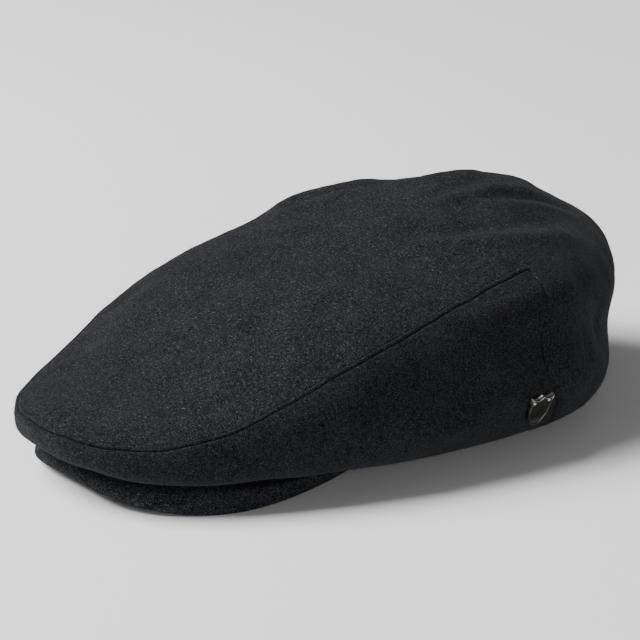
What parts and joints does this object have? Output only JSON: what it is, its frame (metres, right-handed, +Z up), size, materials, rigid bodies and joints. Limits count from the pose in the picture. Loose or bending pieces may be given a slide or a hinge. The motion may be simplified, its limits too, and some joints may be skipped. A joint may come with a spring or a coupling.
{
  "type": "flat cap",
  "caption": "Wool flat cap with a full crown seamed along both sides, a stiff peak tucked under the overhanging front and a plain metal shield at the left rear",
  "frame": {"origin": "on the floor under the middle of the cap's bounding box", "axes": "+X the wearer's left, +Y the back of the head, +Z up; the peak points to -Y"},
  "size_m": [0.2246, 0.29, 0.0963],
  "materials": {
    "wool_crown": "felted charcoal wool",
    "wool_band": "felted charcoal wool",
    "wool_peak": "felted charcoal wool over board",
    "antique_metal": "antique nickel, bright on its edges"
  },
  "bodies": {
    "root": {"crown_top": "wool_crown", "side_band": "wool_band", "peak": "wool_peak", "badge": "antique_metal"}
  },
  "joints": []
}
